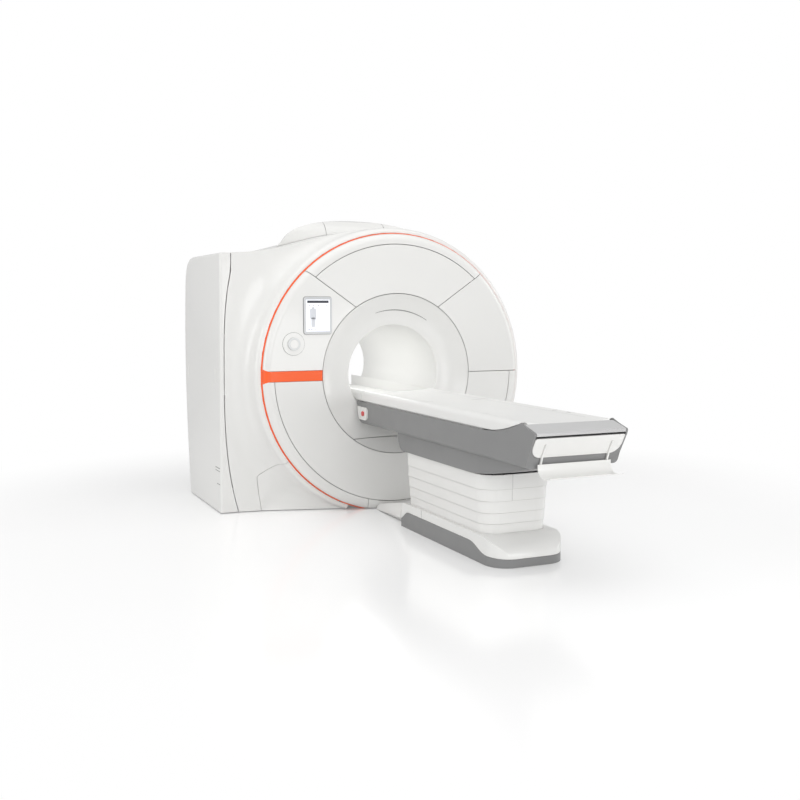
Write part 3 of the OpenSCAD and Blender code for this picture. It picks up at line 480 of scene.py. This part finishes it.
def add_plate(form, x, z, y, width, height, radius, depth=0.0003):
    """Adds an upright plate with rounded corners, centred on x and z, its front at y."""
    upright = Matrix.Translation((x, y, z)) @ Matrix.Rotation(math.radians(90), 4, "X")
    corners = bmesh.ops.create_grid(form, x_segments=1, y_segments=1, size=0.5,
        matrix=upright @ Matrix.Diagonal((width, height, 1.0, 1.0)))["verts"]
    rounded = bmesh.ops.bevel(form, geom=corners, offset=radius, segments=5, profile=0.5,
        affect="VERTICES", material=-1)["verts"]
    thicken(form, [rounded[0].link_faces[0]], (0.0, depth, 0.0))


# %% [markdown]
# The display shows a dark title bar, a pale grey figure of a patient, and a few small marks and
# rows. They are prints on the glass here, each one a rounded plate. A line of painted shade frames
# the bezel and the knob: a flat dark plate where the gap round a part set into a panel is in shade.

# %% Picture on the display
low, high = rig.box("display_screen")
front = low.y - proud
middle_x = (low.x + high.x) / 2
form = bmesh.new()
add_plate(form, middle_x, high.z - 0.016, front, 0.156, 0.017, 0.002)
for x, z in [(-0.062, 0.043), (-0.033, 0.043), (0.004, 0.043), (0.066, 0.043),
             (-0.066, 0.207), (-0.046, 0.207), (-0.022, 0.205)]:
    add_plate(form, middle_x + x, high.z - z, front, 0.009, 0.004, 0.001)
finish_piece("screen_title", form, print_dark, "foot_steel", "gantry", smooth=False)
form = bmesh.new()
for x, z, width, height in [(-0.036, 0.100, 0.046, 0.074), (-0.034, 0.158, 0.030, 0.066),
                            (-0.036, 0.058, 0.018, 0.016)]:
    add_plate(form, middle_x + x, high.z - z, front, width, height, 0.007)
for z in (0.062, 0.086, 0.092):
    add_plate(form, middle_x + 0.042, high.z - z, front, 0.032, 0.002, 0.0008)
finish_piece("screen_figure", form, screen_print, "light_grey", "gantry", smooth=False)
print("display: title bar, marks and figure on", [round(v, 3) for v in high - low])

# %% Painted shadow lines round the bezel and the knob
# Painted shade: flat dark plates stand for the shade in the gaps round the bezel and the knob.
bezel_line, bezel_corner, knob_line = 0.0035, 0.019, 0.0025
low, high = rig.box("display_bezel")
form = bmesh.new()
add_plate(form, (low.x + high.x) / 2, (low.z + high.z) / 2, -proud,
    high.x - low.x + 2 * bezel_line, high.z - low.z + 2 * bezel_line, bezel_corner)
low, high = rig.box("knob_housing")
knob = Vector(((low.x + high.x) / 2, -proud, (low.z + high.z) / 2))
knob_r = (high.x - low.x) / 2
bmesh.ops.create_circle(form, cap_ends=True, segments=64, radius=knob_r + knob_line,
    matrix=Matrix.Translation(knob) @ Matrix.Rotation(math.radians(90), 4, "X"))
finish_piece("painted_shadow_lines", form, seam_and_shadow_grey, "knob_grey", "gantry", smooth=False)

# %% [markdown]
# The side cover has three short dashes low at the front. The funnel has one arched air slot in its
# upper part, drawn as a flat plate on the dish of the funnel with the slot's shade painted dark. The
# fairing of the base is in two pieces, and the ends of the track's rails have dark caps.

# %% The painted shade of the funnel's arched slot
axis_z = 0.978
bore_low, bore_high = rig.box("tunnel_liner")
mouth_r = (bore_high.x - bore_low.x) / 2 + 0.001
funnel_low, funnel_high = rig.box("front_funnel")
funnel_r = (funnel_high.x - funnel_low.x) / 2
dish_depth = 0.079
slot_steps = 20
thin_ends = 0.6


def add_arc_slot_shade(form, radius, sag, first, last, width):
    """Adds a flat dark arc on the dish of the funnel, the painted shade of an arched slot, thin at its ends, between
    two angles.
    """
    for vert in bmesh.ops.create_grid(form, x_segments=slot_steps, y_segments=1, size=0.5)["verts"]:
        along = vert.co.x * 2.0
        angle = math.radians((first + last) / 2 + (last - first) / 2 * along)
        r = radius - sag * along ** 2 + vert.co.y * width * (1.0 - thin_ends * along ** 2)
        y = dish_depth * (1.0 - ((r - mouth_r) / (funnel_r - mouth_r)) ** 2) - 0.0007
        vert.co = Vector((r * math.cos(angle), y, axis_z + r * math.sin(angle)))


print("funnel: mouth radius", round(mouth_r, 3), "outer radius", round(funnel_r, 3))

# %% Dashes, seams, caps and the painted slot shade on the fixed parts
form = bmesh.new()
for y0, y1, z, height in [(0.296, 0.42, 0.318, 0.006), (0.296, 0.42, 0.297, 0.005),
                          (0.296, 0.38, 0.203, 0.005)]:
    add_box(form, (side_x - proud, y0, z), (side_x + 0.001, y1, z + height))
base_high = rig.box("base_fairing")[1]
for side in (-1, 1):
    edge_x = side * (base_high.x + 0.0003)
    add_box(form, (edge_x - 0.0005, -0.906, 0.112), (edge_x + 0.0005, -0.904, base_high.z - 0.002))
# Painted shade: a flat dark arc on the dish stands for the shade inside the arched slot.
add_arc_slot_shade(form, 0.459, -0.002, 109.0, 56.0, 0.007)
rail_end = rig.box("bore_bridge")[1].y
cap_inner, cap_outer, cap_bottom, cap_top = 0.266, 0.286, 0.805, 0.855
for side in (-1, 1):
    near, far = sorted((side * cap_inner, side * cap_outer))
    add_box(form, (near, rail_end - 0.001, cap_bottom), (far, rail_end + 0.003, cap_top))
ring_dot = (-0.4376, 0.046, 0.070)
bmesh.ops.create_uvsphere(form, u_segments=16, v_segments=10, radius=0.006,
    matrix=Matrix.Translation(ring_dot))
finish_piece("dashes_seams_and_slot_shade", form, seam_and_shadow_grey, "foot_steel", "gantry", smooth=False)

# %% A small white plate below the dashes
form = bmesh.new()
add_box(form, (side_x - 0.0003, 0.335, 0.10), (side_x + 0.001, 0.36, 0.17))
finish_piece("side_plate", form, finishes["cover_white"], "cover_white", "gantry", smooth=False)

# %% [markdown]
# The two upper skirts of the lift are bent sheets. Each carries an upright line of painted shade
# near the foot end, where the shading of the skirt changes. Each line rides with its own skirt.

# %% Painted shade lines on the two upper skirts
for node_name, body in (("cover_1", "table"), ("cover_2", "cover_2")):
    low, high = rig.box(node_name)
    form = bmesh.new()
    # Painted shade: a thin dark upright strip where the shading of the skirt changes.
    add_box(form, (-0.051, low.y - 0.0003, low.z + 0.002), (-0.0495, low.y + 0.001, high.z - 0.001))
    finish_piece(node_name + "_shade_line", form, seam_and_shadow_grey, "foot_steel", body, smooth=False)

# %% [markdown]
# The white plates of the emergency stops carry on over the gap onto the nose of the gantry, and
# their far edge follows the slant of the nose.

# %% Stop plates on the nose
near_y, far_bottom_y, far_top_y = -0.003, 0.024, 0.057
stop_thickness = 0.008
form = bmesh.new()
nose_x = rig.box("dock_cradle")[1].x
plate_low, plate_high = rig.box("estop_housings")
for side in (-1, 1):
    corners = bmesh.ops.create_grid(form, x_segments=1, y_segments=1, size=0.5)["verts"]
    for vert in corners:
        upper = vert.co.y > 0.0
        far_y = far_top_y if upper else far_bottom_y
        vert.co = Vector((side * (nose_x + 0.0002), far_y if vert.co.x > 0.0 else near_y,
            plate_high.z if upper else plate_low.z))
    thicken(form, [corners[0].link_faces[0]], (side * stop_thickness, 0.0, 0.0))
bmesh.ops.bevel(form, geom=form.edges, offset=0.002, segments=2, profile=0.5, affect="EDGES",
    material=-1)
finish_piece("nose_plates", form, finishes["cover_white"], "cover_white", "gantry")

# %% [markdown]
# The lit band widens softly where it runs into the lit ring, like a fillet. Each fillet is a thin
# strip that follows the rounding of the rim.

# %% Fillets of the lit band
rim_rounding, rim_start = 0.056, 0.95
fillet_start, fillet_length, fillet_height = 0.94, 0.0625, 0.016
under_band = 0.001


def rim_y(radius):
    """Depth of the rounded rim of the front at a radius."""
    return rim_rounding - math.sqrt(rim_rounding ** 2 - max(0.0, radius - rim_start) ** 2)


form = bmesh.new()
band_low, band_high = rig.box("light_band")
for side, edge_z in ((1, band_high.z), (-1, band_low.z)):
    for vert in bmesh.ops.create_grid(form, x_segments=14, y_segments=3, size=0.5)["verts"]:
        along, up = vert.co.x + 0.5, vert.co.y + 0.5
        radius = fillet_start + fillet_length * along
        z = edge_z + side * (-under_band + up * (under_band + fillet_height * along ** 3))
        x = -math.sqrt(radius ** 2 - (z - axis_z) ** 2)
        vert.co = Vector((x, rim_y(radius) - 0.0007, z))
finish_piece("band_fillets", form, finishes["lit_orange"], "lit_orange", "gantry")

# %% [markdown]
# The left flank of the turret reaches a little past the rear end of the top cover, and its hollow
# shows through the step between them. A thin plate behind the step follows the flank and hides the
# inside. A small grey notch still shows in front of it. The turret narrows evenly from its front to
# its rear, so the profile of the flank is scaled to where the plate stands.

# %% Closing plate in the step of the turret
cover_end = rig.box("upper_cover")[1].y
turret_low, turret_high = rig.box("turret_side_covers")
rear_share = 0.7
narrowing = 1.0 - (1.0 - rear_share) * (cover_end - turret_low.y) / (turret_high.y - turret_low.y)
flank = [Vector(spot) for spot in ((-0.520, 2.043), (-0.585, 2.015), (-0.617, 1.915), (-0.728, 1.878))]
plate_bottom, plate_thickness = 1.80, 0.002
form = bmesh.new()
for vert in bmesh.ops.create_grid(form, x_segments=8, y_segments=1, size=0.5)["verts"]:
    t = vert.co.x + 0.5
    spot = (flank[0] * (1 - t) ** 3 + flank[1] * 3 * t * (1 - t) ** 2
        + flank[2] * 3 * t ** 2 * (1 - t) + flank[3] * t ** 3)
    z = spot.y - 0.001 if vert.co.y > 0.0 else plate_bottom
    vert.co = Vector((spot.x * narrowing, cover_end + proud, z))
thicken(form, form.faces[:], (0.0, plate_thickness, 0.0))
finish_piece("turret_step_plate", form, finishes["cover_white"], "cover_white", "gantry", smooth=False)

# %% [markdown]
# The board has shallow slots for straps and handles near its edges, and two long creases where
# its flat middle meets the raised sides. Both are flat strips on the board with painted shade, dark
# in the slots and grey along the creases.

# %% Painted shade of the slots and creases of the tabletop
board_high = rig.box("tabletop")[1]
board_dish = 0.016
dish_half = board_high.x - 0.008


def add_strip(form, start, end, width, steps):
    """Adds a narrow strip between two [x, y] points that lies on the dished board."""
    start, end = Vector(start), Vector(end)
    across = (end - start).orthogonal().normalized() * width
    for vert in bmesh.ops.create_grid(form, x_segments=steps, y_segments=1, size=0.5)["verts"]:
        spot = start.lerp(end, vert.co.x + 0.5) + across * vert.co.y
        rise = board_dish * (min(abs(spot.x), dish_half) / dish_half) ** 2
        vert.co = Vector((spot.x, spot.y, board_high.z - board_dish + rise + 0.0005))


# Painted shade: dark strips on the board stand for the shade inside the strap slots.
form = bmesh.new()
for side in (-1, 1):
    add_strip(form, (side * 0.246, -0.889), (side * 0.142, -0.864), 0.005, 10)
    add_strip(form, (side * 0.246, -0.40), (side * 0.20, -0.40), 0.004, 6)
    add_strip(form, (side * 0.250, -1.71), (side * 0.217, -1.71), 0.004, 6)
    add_strip(form, (side * 0.236, -1.83), (side * 0.236, -1.87), 0.004, 4)
finish_piece("board_slot_shade", form, seam_and_shadow_grey, "foot_steel", "tabletop", smooth=False)
# Painted shade: grey strips along the creases of the board.
form = bmesh.new()
for side in (-1, 1):
    add_strip(form, (side * 0.205, -0.30), (side * 0.205, -2.06), 0.002, 20)
finish_piece("board_crease_shade", form, finishes["light_grey"], "light_grey", "tabletop", smooth=False)
print("pieces in all:", sum(o.type == "MESH" for o in bpy.data.objects))

# %% [markdown]
# ## Studio
#
# The scanner stands in a white studio. The floor is a pale glossy sheet that keeps the contact
# shadow and a soft mirror image. Away from the scanner it fades to plain white for rays from the
# camera, so that no horizon shows. Rays from the camera see a plain white room, and all other rays
# see a weaker soft light, so that the white covers keep their shading.

# %% Floor
pure_white = (1.0, 1.0, 1.0, 1.0)


def add_math(tree, kind, operation):
    """Adds a math node of a kind, set to an operation."""
    made = tree.nodes.new(kind)
    made.operation = operation
    return made


floor_mesh = bpy.data.meshes.new("floor")
form = bmesh.new()
bmesh.ops.create_grid(form, x_segments=1, y_segments=1, size=60.0)
form.to_mesh(floor_mesh)
form.free()
floor = bpy.data.objects.new("floor", floor_mesh)
bpy.context.scene.collection.objects.link(floor)
floor.location.z = -0.0005
floor_finish = bpy.data.materials.new("floor_white")
floor_finish.use_nodes = True
tree = floor_finish.node_tree
tree.nodes.clear()
output = tree.nodes.new("ShaderNodeOutputMaterial")
matt = add_node(tree, "ShaderNodeBsdfDiffuse", Color=(0.86, 0.86, 0.86, 1.0))
glow = add_node(tree, "ShaderNodeEmission", Color=pure_white)
gloss = add_node(tree, "ShaderNodeBsdfGlossy", Color=pure_white, Roughness=0.16)
rays = tree.nodes.new("ShaderNodeLightPath")
lift = add_math(tree, "ShaderNodeMath", "MULTIPLY")
lift.inputs[1].default_value = 0.21
tree.links.new(rays.outputs["Is Camera Ray"], lift.inputs[0])
tree.links.new(lift.outputs[0], glow.inputs["Strength"])
both = tree.nodes.new("ShaderNodeAddShader")
tree.links.new(matt.outputs[0], both.inputs[0])
tree.links.new(glow.outputs[0], both.inputs[1])
sheen = add_node(tree, "ShaderNodeMixShader", Fac=0.28)
tree.links.new(both.outputs[0], sheen.inputs[1])
tree.links.new(gloss.outputs[0], sheen.inputs[2])
place = tree.nodes.new("ShaderNodeTexCoord")
apart = add_math(tree, "ShaderNodeVectorMath", "DISTANCE")
apart.inputs[1].default_value = (0.0, -0.4, 0.0)
tree.links.new(place.outputs["Object"], apart.inputs[0])
fade = add_node(tree, "ShaderNodeMapRange", From_Min=2.3, From_Max=4.3)
fade.interpolation_type = "SMOOTHSTEP"
tree.links.new(apart.outputs["Value"], fade.inputs["Value"])
far = add_math(tree, "ShaderNodeMath", "MULTIPLY")
tree.links.new(fade.outputs["Result"], far.inputs[0])
tree.links.new(rays.outputs["Is Camera Ray"], far.inputs[1])
white = add_node(tree, "ShaderNodeEmission", Color=pure_white, Strength=1.0)
horizon = tree.nodes.new("ShaderNodeMixShader")
tree.links.new(far.outputs[0], horizon.inputs["Fac"])
tree.links.new(sheen.outputs[0], horizon.inputs[1])
tree.links.new(white.outputs[0], horizon.inputs[2])
tree.links.new(horizon.outputs[0], output.inputs["Surface"])
floor_mesh.materials.append(floor_finish)
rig.stage(floor)

# %% World
world = bpy.data.worlds.new("studio")
bpy.context.scene.world = world
world.use_nodes = True
tree = world.node_tree
background = tree.nodes["Background"]
rays = tree.nodes.new("ShaderNodeLightPath")
seen = add_math(tree, "ShaderNodeMath", "MAXIMUM")
tree.links.new(rays.outputs["Is Camera Ray"], seen.inputs[0])
tree.links.new(rays.outputs["Is Transmission Ray"], seen.inputs[1])
level = add_node(tree, "ShaderNodeMapRange", To_Min=0.66, To_Max=1.0)
tree.links.new(seen.outputs[0], level.inputs["Value"])
background.inputs["Color"].default_value = pure_white
tree.links.new(level.outputs["Result"], background.inputs["Strength"])

# %% [markdown]
# Large soft boxes light a white product evenly. The big one overhead and the one in front give the
# shading, the two at the sides keep the flanks from going grey, a low one brightens the foot of the
# table, and a narrow one inside lights the tunnel.

# %% Lamps
def soft_box(name, place, target, width, height, power):
    """A rectangular area lamp that faces a point."""
    data = bpy.data.lights.new(name, "AREA")
    data.shape = "RECTANGLE"
    data.size = width
    data.size_y = height
    data.energy = power
    lamp = bpy.data.objects.new(name, data)
    lamp.location = place
    lamp.rotation_euler = (Vector(target) - Vector(place)).to_track_quat("-Z", "Y").to_euler()
    bpy.context.scene.collection.objects.link(lamp)


middle = (0.0, 0.0, 1.0)
soft_box("ceiling_box", (-0.5, -1.5, 5.5), (0.0, -0.5, 0.0), 6.0, 6.0, 100.0)
soft_box("front_box", (-4.0, -8.0, 3.0), middle, 4.0, 3.0, 108.0)
soft_box("left_box", (-7.0, 0.5, 2.4), (-1.2, 0.6, 1.0), 3.0, 3.0, 60.0)
soft_box("right_strip", (6.0, -1.0, 2.4), (0.6, 0.0, 1.3), 1.2, 4.0, 50.0)
soft_box("foot_box", (0.8, -5.6, 0.9), (0.0, -2.2, 0.1), 2.0, 1.2, 28.0)
soft_box("bore_light", (0.0, 0.8, 1.3), (0.0, 0.8, 0.9), 0.2, 1.3, 3.6)
print("lamps:", [o.name for o in bpy.data.objects if o.type == "LIGHT"])

# %% [markdown]
# ## Camera
#
# The camera stands a little left of the table at eye height, and looks slightly down and to the
# right, across the table's side into the funnel.

# %% Camera
look_down, look_right = 5.36, 24.35
camera_data = bpy.data.cameras.new("camera")
camera_data.sensor_width = 36.0
camera_data.lens = 46.39
camera = bpy.data.objects.new("camera", camera_data)
camera.location = (-3.054, -6.785, 1.4847)
camera.rotation_euler = (math.radians(90 - look_down), 0.0, math.radians(-look_right))
bpy.context.scene.collection.objects.link(camera)
bpy.context.scene.camera = camera
bpy.context.scene.view_settings.view_transform = "Standard"

# %% [markdown]
# The last cell writes the box of the engineering model and the box of the dressed scanner, so that
# the two can be compared.

# %% Write the boxes of the engineering model and the dressed scanner
with open("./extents.json", "w") as size_file:
    json.dump({"cad": cad_box, "visual": [list(corner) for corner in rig.bounds()]}, size_file)
print(open("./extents.json").read())
